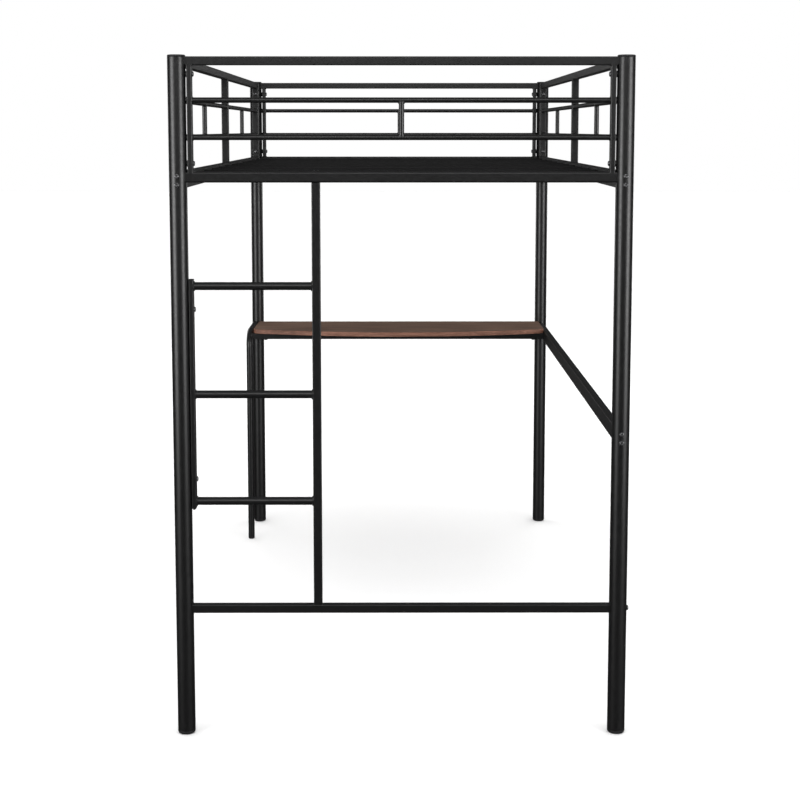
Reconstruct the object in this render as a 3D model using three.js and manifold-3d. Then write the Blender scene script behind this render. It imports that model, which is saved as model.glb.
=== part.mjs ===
// Metal loft bed with a desk under its head end. Millimetres, +Z up.
// The origin is on the floor, in the middle of the four posts. -Y is the foot end, where the
// ladder is. +Y is the head end, where the desk is. +X is on the right of someone who stands at
// the foot end and faces the bed.
import * as THREE from 'three';
import { mergeVertices } from 'three/addons/utils/BufferGeometryUtils.js';
import Module from 'manifold-3d';

const wasm = await Module();
wasm.setup();

// Driving dimensions.
const GAP = 0.3; // between pieces that touch
const POST_SPACING = { x: 1035, y: 1940 }; // centre to centre
const POST_DIAMETER = 42;
const POST_WALL = 1.2;
const OVERALL_HEIGHT = 1616;
const TUBE_WALL = 1.2; // square and rectangular tubes
const BAR_WALL = 1; // thin round tubes and slats

const TOP_RAIL = { size: 20, z: 1602 };
const BAR_DIAMETER = 12.7;
const BAR_HEIGHTS = [1427, 1512.5];
const SIDE_RAIL = { width: 20, height: 40, z: 1328 };
const END_RAIL = { depth: 20, height: 25, z: 1335.5 };
const UPRIGHT = { width: 12, depth: 20, inset: 29.5 }; // inset is from the post's middle
const GUARD_BOLT_HEIGHTS = [1367, 1572];

const SLAT = { count: 12, width: 35, thickness: 12, top: 1342 };
const SLAT_PLUG = { width: 25, into_slat: 20, into_rail: 10 };

const LOWER_RAIL = { size: 20, z: 308 };
const LADDER_STUB_HEIGHT = 20;
const RUNG = { count: 3, diameter: 19, first: 569.25, pitch: 256.25 };
const LADDER_RAIL = { size: 20, x: -198.7 }; // the long one
// The short one. inset is from the post's middle.
const LADDER_STRIP = { width: 11, depth: 20, inset: 27, low: 550, high: 1098 };
const LADDER_BOLT_HEIGHTS = { lower: 623, upper: 1027 };
const HOOK = { thickness: 3, width: 14, reach: 14, below_rail: 50, weld_height: 40, weld_bite: 0.2 };

const BOARD = { top: 749, thickness: 15, left: -512, right: 507.2, corner_y: 730, bow: 80 };
const BOARD_CORNER_RADIUS = 20;
const DESK_RAIL = { size: 20, top: BOARD.top - BOARD.thickness - GAP, front_y: 744, back_y: 915 };
const DESK_SIDE_RAIL = { width: 20, height: 38, z: 722.5 };
const LEG = { diameter: 22, x: -526, y: 729, bend_radius: 50, top_z: 738, bolt_offset: 5.5 };
const BOARD_SCREW_X = 470;

const BOLT = { shank: 6, head: 12.5, head_height: 3.8, pair_spacing: 20 };
const BOLT_HOLE = BOLT.shank + 1;
const SCREW = { shank: 5, head: 12, head_height: 3.5, into_board: 10 };
const NUT = { diameter: 11, height: 8 };
const THREAD_PAST_NUT = 1;
const NUT_PLATE = { thickness: 4, depth: 20 }; // depth is from a rail's end to the plate inside it
const NUT_STRIP = { width: 11, past_bolt: 10, clearance: 1.3 }; // stands inside a post
// Plugs in the tubes' ends. edge is the head's radius, and depth is how far they go in.
const POST_CAP = { height: 5, edge: 3, depth: 10 };
const POST_GLIDE = { height: 8, edge: 6, depth: 22 };
const LEG_GLIDE = { height: 6, edge: 3, depth: 15 };
const TONGUE = { width: 12, thickness: 5, into_rail: 25, into_post: 8, into_wall: 0.4 };

// Values worked out from them.
const POST_X = POST_SPACING.x / 2;
const POST_Y = POST_SPACING.y / 2;
const POST_RADIUS = POST_DIAMETER / 2;
const COPE_RADIUS = POST_RADIUS + GAP;
const LEG_BOLT_X = LEG.x + LEG.bolt_offset; // inside the leg's bore, near the post's middle
const POST_SIDES = 20;
const BAR_SIDES = 12;
const BORE_SIDES = 8;
const BOLT_SIDES = 8;
const AXES = ['x', 'y', 'z'];

// ---------------------------------------------------------------------------------------------
// Solids

function solidOf(geometry) {
  geometry.deleteAttribute('normal');
  geometry.deleteAttribute('uv');
  const welded = mergeVertices(geometry, 1e-4);
  const corners = welded.index.array;
  const triangles = [];
  for (let i = 0; i < corners.length; i += 3) {
    const [a, b, c] = corners.slice(i, i + 3);
    if (a !== b && b !== c && c !== a) triangles.push(a, b, c);
  }
  return new wasm.Manifold(new wasm.Mesh({
    numProp: 3,
    vertProperties: new Float32Array(welded.attributes.position.array),
    triVerts: new Uint32Array(triangles),
  }));
}

function geometryOf(solid) {
  const { vertProperties, triVerts } = solid.getMesh();
  const geometry = new THREE.BufferGeometry();
  geometry.setAttribute('position', new THREE.BufferAttribute(vertProperties, 3));
  geometry.setIndex(new THREE.BufferAttribute(triVerts, 1));
  geometry.computeVertexNormals();
  return geometry;
}

function join(solids) {
  return solids.reduce((whole, solid) => whole.add(solid));
}

// A rectangular block: its middle and its size, each as [x, y, z].
function block(middle, size) {
  const geometry = new THREE.BoxGeometry(...size);
  geometry.translate(...middle);
  return solidOf(geometry);
}

// A round rod parallel to an axis. middle is the point halfway along it.
function rod(axis, middle, length, diameter, sides = BAR_SIDES) {
  const geometry = new THREE.CylinderGeometry(diameter / 2, diameter / 2, length, sides);
  if (axis === 'x') geometry.rotateZ(Math.PI / 2);
  if (axis === 'z') geometry.rotateX(Math.PI / 2);
  geometry.translate(...middle);
  return solidOf(geometry);
}

// A tube as its outside and its bore, so that welded tubes can be joined before they are bored.
function rectangularTube(axis, middle, length, size, wall = TUBE_WALL) {
  const along = AXES.indexOf(axis);
  const outside = [...size];
  const inside = size.map((value) => value - 2 * wall);
  outside.splice(along, 0, length);
  inside.splice(along, 0, length + 1);
  return { outside: block(middle, outside), bore: block(middle, inside) };
}

function roundTube(axis, middle, length, diameter) {
  return {
    outside: rod(axis, middle, length, diameter),
    bore: rod(axis, middle, length + 1, diameter - 2 * BAR_WALL, BORE_SIDES),
  };
}

function boltHole(axis, middle, length) {
  return rod(axis, middle, length, BOLT_HOLE, BORE_SIDES);
}

// Tubes welded into one piece, with solid additions, such as bosses and pins, and cuts.
function weldment(tubes, { additions = [], cuts = [] } = {}) {
  let piece = join(tubes.map((tube) => tube.outside));
  piece = piece.subtract(join(tubes.map((tube) => tube.bore)));
  if (additions.length) piece = piece.add(join(additions));
  if (cuts.length) piece = piece.subtract(join(cuts));
  return piece;
}

// The room that a post takes out of whatever meets it.
function postClearance(side, end) {
  const middle = [side * POST_X, end * POST_Y, OVERALL_HEIGHT / 2];
  return rod('z', middle, OVERALL_HEIGHT + 100, 2 * COPE_RADIUS, POST_SIDES);
}

function pairHeights(z) {
  return [z - BOLT.pair_spacing / 2, z + BOLT.pair_spacing / 2];
}

// ---------------------------------------------------------------------------------------------
// Posts, caps and glides

// Every post takes a pair of bolts along Y at the bed side rail, two bolts along X for the end
// panel and two along Y for the side guard. The other holes depend on the post's corner.
function postSolid(side, end) {
  const x = side * POST_X;
  const y = end * POST_Y;
  const low = POST_GLIDE.height + GAP;
  const high = OVERALL_HEIGHT - POST_CAP.height - GAP;
  const middle = [x, y, (low + high) / 2];
  const tube = {
    outside: rod('z', middle, high - low, POST_DIAMETER, POST_SIDES),
    bore: rod('z', middle, high - low + 1, POST_DIAMETER - 2 * POST_WALL, POST_SIDES),
  };
  const throughY = (z, offset = 0) => boltHole('y', [x + offset, y, z], POST_DIAMETER + 4);
  const throughX = (z) => boltHole('x', [x, y, z], POST_DIAMETER + 4);
  const innerWallX = (z) => boltHole('x', [x - side * POST_RADIUS, y, z], POST_DIAMETER / 2);
  const innerWallY = (z) => boltHole('y', [x, y - end * POST_RADIUS, z], POST_DIAMETER / 2);
  const cuts = [
    ...pairHeights(SIDE_RAIL.z).map((z) => throughY(z)),
    ...GUARD_BOLT_HEIGHTS.map((z) => innerWallX(z)),
    ...GUARD_BOLT_HEIGHTS.map((z) => innerWallY(z)),
  ];
  if (side > 0) cuts.push(...pairHeights(DESK_SIDE_RAIL.z).map((z) => throughY(z)));
  if (side > 0 && end < 0) cuts.push(throughX(LOWER_RAIL.z));
  if (side < 0 && end < 0) {
    cuts.push(...Object.values(LADDER_BOLT_HEIGHTS).map((z) => innerWallX(z)));
    cuts.push(tongueSlot([x + POST_RADIUS, y]));
  }
  if (side < 0 && end > 0) cuts.push(throughY(LEG.top_z, LEG_BOLT_X + POST_X));
  return weldment([tube], { cuts });
}

// The lower rail's tongue is a flat bar welded to the floor of the rail's bore. It hooks into a
// slot in the post at the left.
function tongueHeight() {
  const floor = LOWER_RAIL.z - LOWER_RAIL.size / 2 + TUBE_WALL;
  return floor - TONGUE.into_wall + TONGUE.thickness / 2;
}

function tongueSlot([x, y]) {
  const size = [POST_RADIUS, TONGUE.width + 2 * GAP, TONGUE.thickness + 2 * GAP];
  return block([x, y, tongueHeight()], size);
}

// The tongue itself, where the rail meets the post's surface at [x, y].
function tongue([x, y]) {
  const length = TONGUE.into_rail + TONGUE.into_post;
  const middle = [x + length / 2 - TONGUE.into_post, y, tongueHeight()];
  return block(middle, [length, TONGUE.width, TONGUE.thickness]);
}

function turned(points, sides = POST_SIDES) {
  const geometry = new THREE.LatheGeometry(points.map(([r, z]) => new THREE.Vector2(r, z)), sides);
  geometry.rotateX(Math.PI / 2);
  return solidOf(geometry);
}

// Points of a quarter round between two directions, given in degrees, about a centre.
function roundCorner([r, z], radius, from, to, steps = 2) {
  return Array.from({ length: steps + 1 }, (_, i) => {
    const angle = THREE.MathUtils.degToRad(from + ((to - from) * i) / steps);
    return [r + radius * Math.cos(angle), z + radius * Math.sin(angle)];
  });
}

// A plastic plug whose head covers the end of a tube. Its local +Z points out of the tube.
function plugSolid(tubeDiameter, wall, { height, edge, depth }) {
  const r = tubeDiameter / 2;
  const fit = r - wall - GAP;
  return turned([
    [0, -depth],
    [fit, -depth],
    [fit, 0],
    [r, 0],
    ...roundCorner([r - edge, height - edge], edge, 0, 90),
    [0, height],
  ]);
}

// ---------------------------------------------------------------------------------------------
// Guard panels and side frames

// One end of the bed: top rail, two bars with a centre spindle, two uprights and the bed's end
// rail. Bosses keep the uprights off the posts, and a bolt goes through each boss.
function endPanelSolid(end) {
  const y = end * POST_Y;
  const width = POST_SPACING.x;
  const height = TOP_RAIL.z - END_RAIL.z;
  const middle = (TOP_RAIL.z + END_RAIL.z) / 2;
  const tubes = [
    rectangularTube('x', [0, y, TOP_RAIL.z], width, [TOP_RAIL.size, TOP_RAIL.size]),
    rectangularTube('x', [0, y, END_RAIL.z], width, [END_RAIL.depth, END_RAIL.height]),
    spindle(0, y),
  ];
  for (const z of BAR_HEIGHTS) tubes.push(roundTube('x', [0, y, z], width, BAR_DIAMETER));
  const additions = [];
  const cuts = [];
  for (const side of [-1, 1]) {
    const x = side * (POST_X - UPRIGHT.inset);
    tubes.push(rectangularTube('z', [x, y, middle], height, [UPRIGHT.width, UPRIGHT.depth]));
    for (const z of GUARD_BOLT_HEIGHTS) {
      additions.push(boss('x', side, y, z));
      cuts.push(boltHole('x', [x, y, z], 3 * UPRIGHT.width));
    }
    cuts.push(postClearance(side, end));
  }
  return weldment(tubes, { additions, cuts });
}

// A short bar upright between the two long bars of a guard.
function spindle(x, y) {
  const [low, high] = BAR_HEIGHTS;
  return roundTube('z', [x, y, (low + high) / 2], high - low, BAR_DIAMETER);
}

// A short collar along an axis, from an upright's face to the post beside it. outward is +1 or
// -1, the way to the post, and across is the collar's place on the other level axis.
function boss(axis, outward, across, z) {
  const post = axis === 'x' ? POST_X : POST_Y;
  const length = UPRIGHT.inset - UPRIGHT.width / 2;
  const along = outward * (post - (length + TUBE_WALL) / 2);
  return rod(axis, axis === 'x' ? [along, across, z] : [across, along, z], length, BOLT.head);
}

// One long side of the bed: top rail, two bars, three uprights, two spindles and the side rail,
// whose inner wall is slotted for the slats. The outer uprights are bolted to the posts.
function sideFrameSolid(side) {
  const x = side * POST_X;
  const length = POST_SPACING.y;
  const height = TOP_RAIL.z - SIDE_RAIL.z;
  const middle = (SIDE_RAIL.z + TOP_RAIL.z) / 2;
  const size = TOP_RAIL.size;
  const tubes = [
    rectangularTube('y', [x, 0, TOP_RAIL.z], length, [size, size]),
    rectangularTube('y', [x, 0, SIDE_RAIL.z], length, [SIDE_RAIL.width, SIDE_RAIL.height]),
    rectangularTube('z', [x, 0, middle], height, [size, size]),
  ];
  for (const z of BAR_HEIGHTS) tubes.push(roundTube('y', [x, 0, z], length, BAR_DIAMETER));
  const additions = [];
  const cuts = slatSlots(side);
  for (const end of [-1, 1]) {
    const y = end * (POST_Y - UPRIGHT.inset);
    tubes.push(rectangularTube('z', [x, y, middle], height, [UPRIGHT.depth, UPRIGHT.width]));
    tubes.push(spindle(x, (end * (length - POST_DIAMETER)) / 4));
    for (const z of GUARD_BOLT_HEIGHTS) {
      additions.push(boss('y', end, x, z));
      cuts.push(boltHole('y', [x, y, z], 3 * UPRIGHT.width));
    }
    cuts.push(postClearance(side, end));
  }
  return weldment(tubes, { additions, cuts });
}

function slatPositions() {
  const clearLength = POST_SPACING.y - END_RAIL.depth;
  const pitch = clearLength / SLAT.count;
  return Array.from({ length: SLAT.count }, (_, i) => (i + 0.5) * pitch - clearLength / 2);
}

function slatSlots(side) {
  const innerWall = side * (POST_X - SIDE_RAIL.width / 2 + TUBE_WALL / 2);
  const plugHeight = SLAT.thickness - 2 * BAR_WALL;
  const size = [3 * TUBE_WALL, SLAT_PLUG.width + 2 * GAP, plugHeight + 2 * GAP];
  return slatPositions().map((y) => block([innerWall, y, SLAT.top - SLAT.thickness / 2], size));
}

// ---------------------------------------------------------------------------------------------
// Deck, ladder and lower rail

// A flat tube between the side rails, with a plug in each end that sits in the rail's slot.
function slatSolid() {
  const half = POST_X - SIDE_RAIL.width / 2 - GAP;
  const tube = rectangularTube('x', [0, 0, 0], 2 * half, [SLAT.width, SLAT.thickness], BAR_WALL);
  const plugLength = SLAT_PLUG.into_slat + GAP + SLAT_PLUG.into_rail;
  const plugSize = [plugLength, SLAT_PLUG.width, SLAT.thickness - 2 * BAR_WALL];
  const plugX = half - SLAT_PLUG.into_slat + plugLength / 2;
  return weldment([tube], { additions: [-1, 1].map((side) => block([side * plugX, 0, 0], plugSize)) });
}

// Short left rail beside the post, long right rail, three rungs, and a hook that holds the right
// rail up on the bed's end rail.
function ladderSolid() {
  const y = -POST_Y;
  const leftX = LADDER_STRIP.inset - POST_X;
  const low = LOWER_RAIL.z + LOWER_RAIL.size / 2 + GAP;
  const high = END_RAIL.z - END_RAIL.height / 2 - GAP;
  const leftSize = [LADDER_STRIP.width, LADDER_STRIP.depth];
  const leftMiddle = (LADDER_STRIP.low + LADDER_STRIP.high) / 2;
  const leftLength = LADDER_STRIP.high - LADDER_STRIP.low;
  const rightSize = [LADDER_RAIL.size, LADDER_RAIL.size];
  const tubes = [
    rectangularTube('z', [leftX, y, leftMiddle], leftLength, leftSize),
    rectangularTube('z', [LADDER_RAIL.x, y, (low + high) / 2], high - low, rightSize),
  ];
  const rungX = (leftX + LADDER_RAIL.x) / 2;
  const rungLength = LADDER_RAIL.x - leftX;
  for (let i = 0; i < RUNG.count; i += 1) {
    const z = RUNG.first + i * RUNG.pitch;
    tubes.push(roundTube('x', [rungX, y, z], rungLength, RUNG.diameter));
  }
  const cuts = Object.values(LADDER_BOLT_HEIGHTS).map((z) => {
    return boltHole('x', [leftX, y, z], 2 * LADDER_STRIP.width);
  });
  return weldment(tubes, { additions: ladderHook(y), cuts });
}

// A steel strap behind the right rail, with two fingers over the top of the end rail.
function ladderHook(y) {
  const { thickness, width, reach } = HOOK;
  const x = LADDER_RAIL.x;
  const railBack = y + END_RAIL.depth / 2;
  const front = railBack + GAP;
  const low = END_RAIL.z - END_RAIL.height / 2 - HOOK.below_rail;
  const high = END_RAIL.z + END_RAIL.height / 2 + GAP + thickness;
  const strapMiddle = [x, front + thickness / 2, (low + high) / 2];
  const strap = block(strapMiddle, [width, thickness, high - low]);
  const weldSize = [width, 2 * (GAP + HOOK.weld_bite), HOOK.weld_height];
  const weld = block([x, railBack, low + HOOK.weld_height / 2], weldSize);
  const fingerSize = [width / 3, reach, thickness];
  const fingerY = front + thickness - reach / 2;
  const fingers = [-1, 1].map((side) => {
    return block([x + (side * width) / 3, fingerY, high - thickness / 2], fingerSize);
  });
  return [strap, weld, ...fingers];
}

// The cross rail at the foot end. A tongue locks its left end, a bolt holds its right end, and
// the ladder's right rail stands over a stub on top of it.
function lowerRailSolid() {
  const y = -POST_Y;
  const size = [LOWER_RAIL.size, LOWER_RAIL.size];
  const tube = rectangularTube('x', [0, y, LOWER_RAIL.z], POST_SPACING.x, size);
  const cuts = [postClearance(-1, -1), postClearance(1, -1)];
  const stubWidth = LADDER_RAIL.size - 2 * TUBE_WALL - 2 * GAP;
  const stubLow = LOWER_RAIL.z + LOWER_RAIL.size / 2 - TUBE_WALL / 2;
  const stubMiddle = [LADDER_RAIL.x, y, stubLow + LADDER_STUB_HEIGHT / 2];
  const stub = block(stubMiddle, [stubWidth, stubWidth, LADDER_STUB_HEIGHT]);
  return weldment([tube], { cuts }).add(join([stub, tongue([POST_RADIUS - POST_X, y])]));
}

// ---------------------------------------------------------------------------------------------
// Desk

// The board's outline from above: straight back and ends, round front corners and a front edge
// that is one shallow arc, tangent to both corners.
function boardShape() {
  const { left, right, bow } = BOARD;
  const radius = BOARD_CORNER_RADIUS;
  const back = POST_Y - POST_RADIUS - 2 * GAP;
  const middle = (left + right) / 2;
  const toCorner = (right - left) / 2 - radius;
  const cornerY = BOARD.corner_y + radius;
  const front = BOARD.corner_y - bow;
  const rise = cornerY - front;
  const arc = (toCorner ** 2 + rise ** 2 - radius ** 2) / (2 * (rise - radius));
  const turn = Math.atan2(toCorner, arc - rise);
  const down = -Math.PI / 2;
  const shape = new THREE.Shape();
  shape.moveTo(left, back);
  shape.lineTo(right, back);
  shape.absarc(right - radius, cornerY, radius, 0, down + turn, true);
  shape.absarc(middle, front + arc, arc, down + turn, down - turn, true);
  shape.absarc(left + radius, cornerY, radius, down - turn, -Math.PI, true);
  shape.closePath();
  return shape;
}

function boardSolid() {
  const arcSteps = 8;
  const options = { depth: BOARD.thickness, bevelEnabled: false, curveSegments: arcSteps };
  const geometry = new THREE.ExtrudeGeometry(boardShape(), options);
  geometry.translate(0, 0, BOARD.top - BOARD.thickness);
  const holes = boardScrewPlaces().map(({ x, y }) => {
    const depth = SCREW.into_board + 1;
    const z = BOARD.top - BOARD.thickness + depth / 2 - 0.5;
    return rod('z', [x, y, z], depth + 1, SCREW.shank + 1, BORE_SIDES);
  });
  return solidOf(geometry).subtract(join(holes));
}

function boardScrewPlaces() {
  const places = [];
  for (const [row, y] of [['front', DESK_RAIL.front_y], ['back', DESK_RAIL.back_y]]) {
    for (const [side, x] of [['left', -BOARD_SCREW_X], ['right', BOARD_SCREW_X]]) {
      places.push({ name: `board_screw_${row}_${side}`, x, y });
    }
  }
  return places;
}

// The leg's centre line: up from the floor, a quarter bend, then level to the post.
class LegRoute extends THREE.Curve {
  constructor(bottom, end, bendSteps) {
    super();
    const { x, y, bend_radius: radius, top_z: top } = LEG;
    this.stations = [{ point: new THREE.Vector3(x, y, bottom), tangent: new THREE.Vector3(0, 0, 1) }];
    for (let i = 0; i <= bendSteps; i += 1) {
      const angle = ((Math.PI / 2) * i) / bendSteps;
      const across = y + radius * (1 - Math.cos(angle));
      const up = top - radius * (1 - Math.sin(angle));
      const tangent = new THREE.Vector3(0, Math.sin(angle), Math.cos(angle));
      this.stations.push({ point: new THREE.Vector3(x, across, up), tangent });
    }
    this.stations.push({ point: new THREE.Vector3(x, end, top), tangent: new THREE.Vector3(0, 1, 0) });
    this.steps = this.stations.length - 1;
  }

  getPointAt(u) {
    return this.stations[Math.round(u * this.steps)].point.clone();
  }

  getTangentAt(u) {
    return this.stations[Math.round(u * this.steps)].tangent.clone();
  }
}

function roundSection(radius, sides) {
  return new THREE.Shape(Array.from({ length: sides }, (_, i) => {
    const angle = (2 * Math.PI * i) / sides;
    return new THREE.Vector2(radius * Math.cos(angle), radius * Math.sin(angle));
  }));
}

function bentTube(bottom, end) {
  const sides = 16;
  const bendSteps = 6;
  const sweep = (radius, spare) => {
    const route = new LegRoute(bottom - spare, end + spare, bendSteps);
    const options = { steps: route.steps, bevelEnabled: false, extrudePath: route };
    return solidOf(new THREE.ExtrudeGeometry(roundSection(radius, sides), options));
  };
  return { outside: sweep(LEG.diameter / 2, 0), bore: sweep(LEG.diameter / 2 - TUBE_WALL, 1) };
}

// The bent leg with the two rails under the board welded to it.
function deskFrameSolid() {
  const { size, top } = DESK_RAIL;
  const z = top - size / 2;
  const weldDepth = 5;
  const left = LEG.x + LEG.diameter / 2 - weldDepth;
  const right = POST_X - DESK_SIDE_RAIL.width / 2 - GAP;
  const tubes = [bentTube(LEG_GLIDE.height + GAP, POST_Y)];
  for (const y of [DESK_RAIL.front_y, DESK_RAIL.back_y]) {
    tubes.push(rectangularTube('x', [(left + right) / 2, y, z], right - left, [size, size]));
  }
  const screwHole = ({ x, y }) => rod('z', [x, y, z], size + 2, SCREW.shank + 1, BORE_SIDES);
  const screwHoles = boardScrewPlaces().map(screwHole);
  return weldment(tubes, { cuts: [postClearance(-1, 1), ...screwHoles] });
}

// The long rail at desk height on the right, between the two right posts.
function deskSideRailSolid() {
  const { width, height, z } = DESK_SIDE_RAIL;
  const tube = rectangularTube('y', [POST_X, 0, z], POST_SPACING.y, [width, height]);
  const cuts = [postClearance(1, -1), postClearance(1, 1)];
  for (const y of [DESK_RAIL.front_y, DESK_RAIL.back_y]) {
    cuts.push(boltHole('x', [POST_X, y, DESK_RAIL.top - DESK_RAIL.size / 2], 2 * width));
  }
  return weldment([tube], { cuts });
}

// ---------------------------------------------------------------------------------------------
// Fasteners. Each one is made about its own axis: the head is above local z = 0 and the shank
// runs down from it.

function buttonHead({ head, head_height: height }) {
  const r = head / 2;
  return [
    [r, 0],
    [r * 0.9, height * 0.55],
    [r * 0.55, height],
    [0, height],
  ];
}

// A bolt of a given length under its head, with a round nut at its end if nut is true.
function boltSolid(length, { nut = false, kind = BOLT } = {}) {
  const r = kind.shank / 2;
  const nutRadius = NUT.diameter / 2;
  const nutLow = THREAD_PAST_NUT - length;
  const nutHigh = nutLow + NUT.height;
  const nutProfile = [[r, nutLow], [nutRadius, nutLow], [nutRadius, nutHigh], [r, nutHigh]];
  const profile = [[0, -length], [r, -length], ...(nut ? nutProfile : []), [r, 0], ...buttonHead(kind)];
  return turned(profile, BOLT_SIDES);
}

// Bolts threaded into one nut plate. offsets are the bolts' places on the plate, as [x, y].
function plateBoltsSolid(length, offsets, plate) {
  const bolts = offsets.map(([x, y]) => boltSolid(length).translate([x, y, 0]));
  return join([...bolts, plate]);
}

// ---------------------------------------------------------------------------------------------
// Assembly

const FINISH = {
  steel: { color: 0x1d1d1f, roughness: 0.45, metalness: 0.6 },
  bolts: { color: 0x18181a, roughness: 0.4, metalness: 0.8 },
  plastic: { color: 0x141415, roughness: 0.6, metalness: 0 },
  wood: { color: 0x5f4a3e, roughness: 0.55, metalness: 0 },
};

const bed = new THREE.Group();

function section() {
  const group = new THREE.Group();
  bed.add(group);
  return group;
}

function addPart(group, name, solid, finish, place = () => {}) {
  const mesh = new THREE.Mesh(geometryOf(solid), new THREE.MeshStandardMaterial(FINISH[finish]));
  mesh.name = name;
  place(mesh);
  group.add(mesh);
}

const SIDES = { left: -1, right: 1 };
const ENDS = { foot: -1, head: 1 };

// Turns a fastener made about +Z so that its head points along the given direction.
function pointHead(mesh, direction, position) {
  mesh.quaternion.setFromUnitVectors(new THREE.Vector3(0, 0, 1), new THREE.Vector3(...direction));
  mesh.position.set(...position);
}

function addPosts() {
  const group = section();
  for (const [endName, end] of Object.entries(ENDS)) {
    for (const [sideName, side] of Object.entries(SIDES)) {
      const corner = `${endName}_${sideName}`;
      const [x, y] = [side * POST_X, end * POST_Y];
      addPart(group, `post_${corner}`, postSolid(side, end), 'steel');
      const cap = plugSolid(POST_DIAMETER, POST_WALL, POST_CAP);
      addPart(group, `post_cap_${corner}`, cap, 'plastic', (mesh) => {
        mesh.position.set(x, y, OVERALL_HEIGHT - POST_CAP.height);
      });
      const glide = plugSolid(POST_DIAMETER, POST_WALL, POST_GLIDE);
      addPart(group, `post_glide_${corner}`, glide, 'plastic', (mesh) => {
        mesh.rotation.x = Math.PI;
        mesh.position.set(x, y, POST_GLIDE.height);
      });
    }
  }
}

function addBedFrame() {
  const group = section();
  for (const [name, end] of Object.entries(ENDS)) {
    addPart(group, `${name}_end_panel`, endPanelSolid(end), 'steel');
  }
  for (const [name, side] of Object.entries(SIDES)) {
    addPart(group, `${name}_side_frame`, sideFrameSolid(side), 'steel');
  }
  slatPositions().forEach((y, i) => {
    addPart(group, `slat_${String(i + 1).padStart(2, '0')}`, slatSolid(), 'steel', (mesh) => {
      mesh.position.set(0, y, SLAT.top - SLAT.thickness / 2);
    });
  });
}

function addFootEnd() {
  const group = section();
  addPart(group, 'ladder', ladderSolid(), 'steel');
  addPart(group, 'lower_rail', lowerRailSolid(), 'steel');
}

function addDesk() {
  const group = section();
  addPart(group, 'desk_board', boardSolid(), 'wood');
  addPart(group, 'desk_frame', deskFrameSolid(), 'steel');
  addPart(group, 'desk_side_rail', deskSideRailSolid(), 'steel');
  const glide = plugSolid(LEG.diameter, TUBE_WALL, LEG_GLIDE);
  addPart(group, 'desk_leg_glide', glide, 'plastic', (mesh) => {
    mesh.rotation.x = Math.PI;
    mesh.position.set(LEG.x, LEG.y, LEG_GLIDE.height);
  });
}

// Pairs of bolts along Y through a post into a nut plate inside the rail behind it.
function addRailBolts() {
  const group = section();
  const length = POST_DIAMETER + GAP + NUT_PLATE.depth + NUT_PLATE.thickness;
  const railPairs = [
    ...Object.entries(SIDES).map(([name, side]) => [`${name}_side_frame`, side, SIDE_RAIL]),
    ['desk_side_rail', 1, DESK_SIDE_RAIL],
  ];
  for (const [name, side, rail] of railPairs) {
    const plateSize = [
      rail.width - 2 * TUBE_WALL - 2 * GAP,
      rail.height - 2 * TUBE_WALL - 2 * GAP,
      NUT_PLATE.thickness,
    ];
    const plate = block([0, 0, -length + NUT_PLATE.thickness], plateSize);
    const offsets = [-1, 1].map((end) => [0, (end * BOLT.pair_spacing) / 2]);
    const pair = plateBoltsSolid(length, offsets, plate);
    for (const [endName, end] of Object.entries(ENDS)) {
      addPart(group, `${name}_bolts_${endName}`, pair, 'bolts', (mesh) => {
        pointHead(mesh, [0, end, 0], [side * POST_X, end * (POST_Y + POST_RADIUS + GAP), rail.z]);
      });
    }
  }
}

// Pairs of bolts through the guards' uprights, along X on an end panel and along Y on a side
// frame. Each pair ends in a nut strip that stands inside the post.
function addGuardBolts() {
  const group = section();
  const [low, high] = GUARD_BOLT_HEIGHTS;
  const middle = (low + high) / 2;
  const half = (high - low) / 2;
  const headInset = UPRIGHT.inset + UPRIGHT.width / 2 + GAP;
  const stripFace = POST_RADIUS - POST_WALL - NUT_STRIP.clearance;
  const threadPastStrip = NUT_PLATE.thickness / 2;
  const length = headInset - stripFace + NUT_PLATE.thickness + threadPastStrip;
  const stripHeight = high - low + 2 * NUT_STRIP.past_bolt;
  const stripMiddle = [0, 0, -length + NUT_PLATE.thickness];
  const { width } = NUT_STRIP;
  const alongX = block(stripMiddle, [stripHeight, width, NUT_PLATE.thickness]);
  const alongY = block(stripMiddle, [width, stripHeight, NUT_PLATE.thickness]);
  const panelPair = plateBoltsSolid(length, [[-half, 0], [half, 0]], alongX);
  const framePair = plateBoltsSolid(length, [[0, -half], [0, half]], alongY);
  for (const [endName, end] of Object.entries(ENDS)) {
    for (const [sideName, side] of Object.entries(SIDES)) {
      addPart(group, `${endName}_panel_bolts_${sideName}`, panelPair, 'bolts', (mesh) => {
        pointHead(mesh, [-side, 0, 0], [side * (POST_X - headInset), end * POST_Y, middle]);
      });
      addPart(group, `${sideName}_guard_bolts_${endName}`, framePair, 'bolts', (mesh) => {
        pointHead(mesh, [0, -end, 0], [side * POST_X, end * (POST_Y - headInset), middle]);
      });
    }
  }
}

// Single bolts through the ladder's short rail, each into a nut inside the post.
function addLadderBolts() {
  const group = section();
  const intoPost = 18;
  const bolt = boltSolid(LADDER_STRIP.width + intoPost, { nut: true });
  const head = LADDER_STRIP.inset + LADDER_STRIP.width / 2 + GAP - POST_X;
  for (const [level, z] of Object.entries(LADDER_BOLT_HEIGHTS)) {
    addPart(group, `ladder_bolt_${level}`, bolt, 'bolts', (mesh) => {
      pointHead(mesh, [1, 0, 0], [head, -POST_Y, z]);
    });
  }
}

function squarePlate(tubeSize, length) {
  const width = tubeSize - 2 * TUBE_WALL - 2 * GAP;
  return block([0, 0, -length + NUT_PLATE.thickness], [width, width, NUT_PLATE.thickness]);
}

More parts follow.
